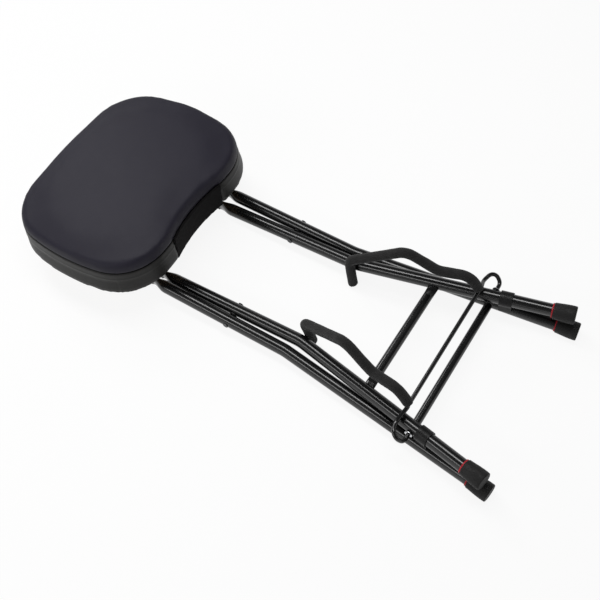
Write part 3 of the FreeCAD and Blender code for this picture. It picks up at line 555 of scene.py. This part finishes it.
class STOOL_OT_cushion(bpy.types.Operator):
    """Fill the seat cover, draw in its top seam and raise the ridge of its lower seam"""

    bl_idname = "stool.cushion"
    bl_label = "Seat cushion"

    def execute(self, context):
        cover = self.cut_out()
        self.fill(cover)
        self.open_underside(cover)
        self.ease(cover)
        round_off(cover)
        self.sew(cover)
        self.paint(cover)
        shade_smooth(cover)
        return {"FINISHED"}

    def cut_out(self):
        """The cushion and its board in one skin of even cells, a little large."""
        size = sizes()
        cover = copy_of_node("seat_cushion", "seat_cover")
        board = copy_of_node("seat_board", "cover_core")
        pick(cover)
        board.select_set(True)
        bpy.ops.object.join()
        low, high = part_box("seat_cushion")
        span = high - low
        edit_all(cover)
        bpy.ops.transform.resize(
            value=(1 + size.cover_ease / span.x, 1 + size.cover_ease / span.y,
                   1 + size.cover_rise / span.z),
            center_override=((low.x + high.x) / 2, 0, low.z))
        bpy.ops.object.mode_set(mode="OBJECT")
        set_coordinates(cover, in_seat(coordinates(cover)))
        remesh(cover, size.cover_voxel)
        set_coordinates(cover, from_seat(coordinates(cover)))
        return cover

    def fill(self, cover):
        """Blow the cover up, held at its underside and its seam, and keep the outward part."""
        before, outwards = coordinates(cover), normals(cover)
        local = in_seat(before)
        at_seam = np.abs(self.over_seam(local)) < sizes().cover_voxel
        group_points(cover, "held", (local[:, 2] < HELD_HEIGHT) | at_seam)
        pick(cover)
        cloth = cover.modifiers.new("filling", "CLOTH")
        cloth.settings.quality = 6
        cloth.settings.mass = 0.3
        cloth.settings.tension_stiffness = 25
        cloth.settings.compression_stiffness = 25
        cloth.settings.bending_stiffness = 2
        cloth.settings.use_pressure = True
        cloth.settings.uniform_pressure_force = 4
        cloth.settings.vertex_group_mass = "held"
        cloth.settings.effector_weights.gravity = 0
        cloth.point_cache.frame_start = 1
        cloth.point_cache.frame_end = FILL_FRAMES
        for step in range(1, FILL_FRAMES + 1):
            bpy.context.scene.frame_set(step)
        bpy.ops.object.modifier_apply(modifier=cloth.name)
        bpy.context.scene.frame_set(1)
        cover.vertex_groups.clear()
        moved = np.sum((coordinates(cover) - before) * outwards, axis=1)
        moved = self.even_out(cover, np.clip(moved, 0, sizes().cover_swell))
        set_coordinates(cover, before + outwards * moved[:, None])

    def over_seam(self, local):
        """Height of points over the top seam, which sinks towards the front."""
        return local[:, 2] + sizes().seam_slope * local[:, 0] - sizes().seam_height

    def even_out(self, cover, values):
        """Even out numbers at the points along the edges, so that no wrinkle is left."""
        edges = np.zeros(len(cover.data.edges) * 2, dtype=np.int32)
        cover.data.edges.foreach_get("vertices", edges)
        first, second = edges.reshape(-1, 2).T
        points = len(values)
        count = np.bincount(edges, minlength=points)
        for _ in range(EVENING_ROUNDS):
            total = (np.bincount(first, values[second], points)
                     + np.bincount(second, values[first], points))
            values = (values + total / count) / 2
        return values

    def open_underside(self, cover):
        """Lift the cover's underside so that the board shows under it."""
        local = in_seat(coordinates(cover))
        underside = in_seat([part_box("seat_bracket_left")[1]])[0, 2]
        local[:, 2] = np.maximum(local[:, 2], underside + sizes().board_proud)
        set_coordinates(cover, from_seat(local))

    def ease(self, cover):
        """Round the upper edge, and leave the lower one crisp, as it is pulled over the board."""
        group_points(cover, "upper", in_seat(coordinates(cover))[:, 2] > sizes().ridge_height)
        smooth(cover, UPPER_ROUNDS, "upper")
        cover.vertex_groups.clear()
        smooth(cover, SETTLE_ROUNDS)

    def sew(self, cover):
        """Cut rings along both seams, then shape the seams, the bottom edge and the front."""
        size = sizes()
        seams = (
            (size.seam_height, SEAM_REACH, SEAT_Z + SEAT_X * size.seam_slope),
            (size.ridge_height, RIDGE_REACH, SEAT_Z),
        )
        for height, reach, upright in seams:
            for share in RING_SHARES:
                cut_ring(cover, SEAT_ORIGIN + SEAT_Z * (height + share * reach), upright)
        local = in_seat(coordinates(cover))
        outwards = normals(cover) @ SEAT_AXES.T
        outwards[:, 2] = 0
        local += outwards * self.stand_out(local, outwards)[:, None]
        set_coordinates(cover, from_seat(local))

    def stand_out(self, local, outwards):
        """How far each point of the cover stands out, or is drawn in where it is below 0."""
        size = sizes()
        forward, height = local[:, 0], local[:, 2]
        groove = np.exp(-(self.over_seam(local) / SEAM_WIDTH) ** 2)
        ridge = np.exp(-((height - size.ridge_height) / RIDGE_WIDTH) ** 2)
        in_front = forward >= 0
        patch_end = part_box("neck_rest_pad")[1].y - PATCH_FADE / 2
        beside_patch = ramp(np.abs(local[:, 1]) - patch_end, PATCH_FADE)
        beside_patch[~in_front] = 1
        beside_back = ramp(forward - BACK_START, BACK_FADE)
        flare = ramp(FLARE_TOP - height, EDGE_FADE) * beside_patch * beside_back
        facing = np.clip(outwards[:, 0], 0, 1) ** 2 * in_front
        front = facing * ramp(FRONT_TOP - height, EDGE_FADE) * beside_patch
        return (size.ridge_proud * ridge - size.seam_depth * groove
                + size.cover_flare * flare + size.front_proud * front)

    def paint(self, cover):
        """Give the top and the band round the sides their own vinyl, the top seam a dark vinyl for its thread and
        painted shade, and the lower seam's ridge a painted highlight.
        """
        tone = colours()
        panels = (
            vinyl("seat_vinyl_top", tone.vinyl_top, roughness=0.52, gloss=0.18),
            vinyl("seat_vinyl_band", tone.vinyl_band, roughness=0.46, gloss=0.18),
            # painted highlight on the lower seam's ridge, lighter than the band and fading along X
            vinyl("seat_ridge_painted_highlight", tone.vinyl_ridge_painted_highlight, roughness=0.46, gloss=0.18,
                  fade=RIDGE_HIGHLIGHT_FADE),
            # dark thread with painted shade in the top seam's groove
            vinyl("seat_seam_thread_and_shade", tone.seam, roughness=0.7, gloss=0.05),
        )
        finish_piece(cover, panels[TOP], "seat_vinyl", "seat", "seat_cushion")
        for material in panels[BAND:]:
            cover.data.materials.append(material)
        local = in_seat([face.center for face in cover.data.polygons])
        over_seam = self.over_seam(local)
        panel = np.where(over_seam < 0, BAND, TOP).astype(np.int32)
        # the ridge's faces carry the painted highlight
        panel[np.abs(local[:, 2] - sizes().ridge_height) < RIDGE_REACH] = RIDGE_PAINTED_HIGHLIGHT
        # the top seam's faces take the dark thread with painted shade
        panel[np.abs(over_seam) < SEAM_REACH / 2] = SEAM_THREAD_AND_SHADE
        cover.data.polygons.foreach_set("material_index", panel)


class STOOL_OT_neck_patch(bpy.types.Operator):
    """Make the non-slip patch in the hollow of the seat's front edge"""

    bl_idname = "stool.neck_patch"
    bl_label = "Neck patch"

    def execute(self, context):
        patch = copy_of_node("neck_rest_pad", "neck_patch")
        edit_all(patch)
        bpy.ops.transform.translate(value=SEAT_X * sizes().patch_proud)
        bpy.ops.object.mode_set(mode="OBJECT")
        local = in_seat(coordinates(patch))
        top = local[:, 2].max()
        local[:, 2] = top - (top - local[:, 2]) * sizes().patch_drop
        set_coordinates(patch, from_seat(local))
        remesh(patch, PATCH_CELL)
        smooth(patch, PATCH_ROUNDS)
        material = grip_sheet("neck_patch", colours().neck_patch)
        finish_piece(patch, material, "neck_pad", "seat", "neck_rest_pad")
        shade_smooth(patch)
        return {"FINISHED"}


class STOOL_OT_foam(bpy.types.Operator):
    """Make the soft sleeves of the holder's arms"""

    bl_idname = "stool.foam_sleeves"
    bl_label = "Foam sleeves"

    def execute(self, context):
        material = foam("foam_sleeve", colours().foam)
        for side in SIDES:
            sleeve = copy_of_node(f"holder_foam_{side}", f"foam_sleeve_{side}")
            remesh(sleeve, FOAM_CELL)
            smooth(sleeve, FOAM_ROUNDS)
            lumps = bpy.data.textures.new(f"foam_lumps_{side}", "CLOUDS")
            lumps.noise_scale = FOAM_LUMP
            apply_modifier(sleeve, "DISPLACE", "lumps", texture=lumps, texture_coords="LOCAL",
                           strength=2 * sizes().foam_swell, mid_level=0.5)
            round_off(sleeve)
            finish_piece(sleeve, material, "foam_sleeve", "holder", f"holder_foam_{side}")
            shade_smooth(sleeve)
        return {"FINISHED"}


class STOOL_OT_feet(bpy.types.Operator):
    """Mould the rubber feet with their rounded soles and rolled tops"""

    bl_idname = "stool.feet"
    bl_label = "Rubber feet"

    def execute(self, context):
        material = frame["nodes"]["front_foot_left"].data.materials[0]
        pattern = self.mould()
        for pair in ("front", "rear"):
            for side in SIDES:
                foot = copy_of_piece(pattern, f"rubber_{pair}_{side}")
                mount = MOUNTS[f"{pair}_sole_{side}"]
                turn = Vector((0, 0, 1)).rotation_difference(Vector(mount["axis"]))
                place = Matrix.Translation(Vector(mount["pos_m"]))
                foot.matrix_world = place @ turn.to_matrix().to_4x4()
                pick(foot)
                bpy.ops.object.transform_apply(location=True, rotation=True, scale=True)
                finish_piece(foot, material, "foot_rubber", f"{pair}_frame",
                             f"{pair}_foot_{side}")
                shade_smooth(foot, angle=35)
        bpy.data.objects.remove(pattern)
        return {"FINISHED"}

    def mould(self):
        """A foot under the origin with its sole turned up, narrow at the ring and barrelled."""
        deselect()
        size = sizes()
        bpy.ops.mesh.primitive_cylinder_add(
            vertices=FOOT_SIDES, radius=size.foot_sole_dia / 2, depth=size.foot_length,
            location=(0, 0, -size.foot_length / 2), end_fill_type="NGON")
        foot = bpy.context.object
        foot.name = "foot_pattern"
        bpy.ops.object.transform_apply(location=True, rotation=True, scale=True)
        heights = [-size.foot_length * share for share, _ in FOOT_OUTLINE]
        widths = [share for _, share in FOOT_OUTLINE]
        for height in heights[1:-1]:
            cut_ring(foot, (0, 0, height), (0, 0, 1))
        points = coordinates(foot)
        share = np.interp(points[:, 2], heights, widths)
        radius = (size.foot_top_dia + (size.foot_sole_dia - size.foot_top_dia) * share) / 2
        points[:, :2] *= (radius / np.linalg.norm(points[:, :2], axis=1))[:, None]
        set_coordinates(foot, points)
        apply_modifier(foot, "BEVEL", "edges", width=FOOT_EDGE, segments=4,
                       limit_method="ANGLE", angle_limit=math.radians(40))
        return foot


class STOOL_OT_stage(bpy.types.Operator):
    """Set up the floor, the soft lights and the camera"""

    bl_idname = "stool.stage"
    bl_label = "Studio"

    def execute(self, context):
        scene = context.scene
        scene.view_settings.view_transform = "Standard"
        self.floor()
        self.sky(scene)
        for name, (place, target, size, power) in LAMPS.items():
            self.lamp(scene, name, place, target, size, power)
        self.camera(scene)
        return {"FINISHED"}

    def floor(self):
        """A white floor that keeps the stool's shadow."""
        deselect()
        bpy.ops.mesh.primitive_grid_add(
            x_subdivisions=4, y_subdivisions=4, size=FLOOR_WIDTH, location=(0, 0, 0))
        floor = bpy.context.object
        floor.name = "studio_floor"
        finish = Finish("studio_floor", colours().floor, roughness=0.9, Specular_IOR_Level=0.1)
        self.whiten(finish)
        floor.data.materials.append(finish.material)

    def whiten(self, finish):
        """Mix plain white into a finish where the camera or a reflection shows it."""
        nodes, links = finish.nodes, finish.links
        white = nodes.new("ShaderNodeEmission")
        mix = nodes.new("ShaderNodeMixShader")
        links.new(self.in_view(nodes, links, 0, FLOOR_WHITE), mix.inputs["Fac"])
        links.new(finish.shader.outputs["BSDF"], mix.inputs[1])
        links.new(white.outputs["Emission"], mix.inputs[2])
        links.new(mix.outputs["Shader"], nodes["Material Output"].inputs["Surface"])

    def in_view(self, nodes, links, unseen, seen):
        """One number for rays in view, reflected or through glass, and another for the rest."""
        path = nodes.new("ShaderNodeLightPath")
        either = path.outputs["Is Camera Ray"]
        for kind in ("Is Glossy Ray", "Is Transmission Ray"):
            largest = nodes.new("ShaderNodeMath")
            largest.operation = "MAXIMUM"
            links.new(either, largest.inputs[0])
            links.new(path.outputs[kind], largest.inputs[1])
            either = largest.outputs["Value"]
        amount = nodes.new("ShaderNodeMapRange")
        amount.inputs["To Min"].default_value = unseen
        amount.inputs["To Max"].default_value = seen
        links.new(either, amount.inputs["Value"])
        return amount.outputs["Result"]

    def sky(self, scene):
        """A white backdrop under a dark ceiling, which lights the stool only dimly."""
        world = bpy.data.worlds.new("studio")
        world.use_nodes = True
        nodes, links = world.node_tree.nodes, world.node_tree.links
        direction = nodes.new("ShaderNodeTexCoord").outputs["Generated"]
        height = nodes.new("ShaderNodeSeparateXYZ")
        links.new(direction, height.inputs["Vector"])
        fade = nodes.new("ShaderNodeMapRange")
        fade.interpolation_type = "SMOOTHSTEP"
        fade.inputs["From Min"].default_value, fade.inputs["From Max"].default_value = SKY_FADE
        fade.inputs["To Max"].default_value = SKY_OVERHEAD
        links.new(self.in_view(nodes, links, SKY_UNSEEN, SKY_SEEN), fade.inputs["To Min"])
        links.new(height.outputs["Z"], fade.inputs["Value"])
        links.new(fade.outputs["Result"], nodes["Background"].inputs["Strength"])
        nodes["Background"].inputs["Color"].default_value = (1, 1, 1, 1)
        scene.world = world

    def lamp(self, scene, name, place, target, size, power):
        """A soft box that faces its target."""
        lamp = bpy.data.lights.new(name, "AREA")
        lamp.shape = "RECTANGLE"
        lamp.size, lamp.size_y = size
        lamp.energy = power
        piece = bpy.data.objects.new(name, lamp)
        piece.location = place
        aim = Vector(target) - Vector(place)
        piece.rotation_euler = aim.to_track_quat("-Z", "Y").to_euler()
        scene.collection.objects.link(piece)

    def camera(self, scene):
        """The camera, fitted to the tubes and the seat's edges."""
        camera = bpy.data.cameras.new("camera")
        camera.lens = CAMERA_LENS
        camera.sensor_width = CAMERA_SENSOR
        camera.clip_end = CAMERA_REACH
        piece = bpy.data.objects.new("camera", camera)
        piece.location = CAMERA_PLACE
        piece.rotation_euler = [math.radians(angle) for angle in CAMERA_TURN]
        scene.collection.objects.link(piece)
        scene.camera = piece


class STOOL_PT_panel(bpy.types.Panel):
    """Lists the stool's pieces, sizes and colours"""

    bl_idname = "STOOL_PT_panel"
    bl_label = "Guitar Stool"
    bl_space_type = "VIEW_3D"
    bl_region_type = "UI"
    bl_category = "Stool"

    def draw(self, context):
        for operator in OPERATORS:
            self.layout.operator(operator.bl_idname)
        for group in (context.scene.stool_sizes, context.scene.stool_colours):
            for name in group.__annotations__:
                self.layout.prop(group, name)


OPERATORS = (STOOL_OT_frame, STOOL_OT_cushion, STOOL_OT_neck_patch, STOOL_OT_foam,
             STOOL_OT_feet, STOOL_OT_stage)
CLASSES = (StoolSizes, StoolColours, *OPERATORS, STOOL_PT_panel)


def register():
    for entry in CLASSES:
        bpy.utils.register_class(entry)
    bpy.types.Scene.stool_sizes = PointerProperty(type=StoolSizes)
    bpy.types.Scene.stool_colours = PointerProperty(type=StoolColours)


def unregister():
    del bpy.types.Scene.stool_colours
    del bpy.types.Scene.stool_sizes
    for entry in reversed(CLASSES):
        bpy.utils.unregister_class(entry)


def main():
    register()
    bpy.ops.stool.frame_finish()
    bpy.ops.stool.cushion()
    bpy.ops.stool.neck_patch()
    bpy.ops.stool.foam_sleeves()
    bpy.ops.stool.feet()
    bpy.ops.stool.stage()
    deselect()


if __name__ == "__main__":
    main()
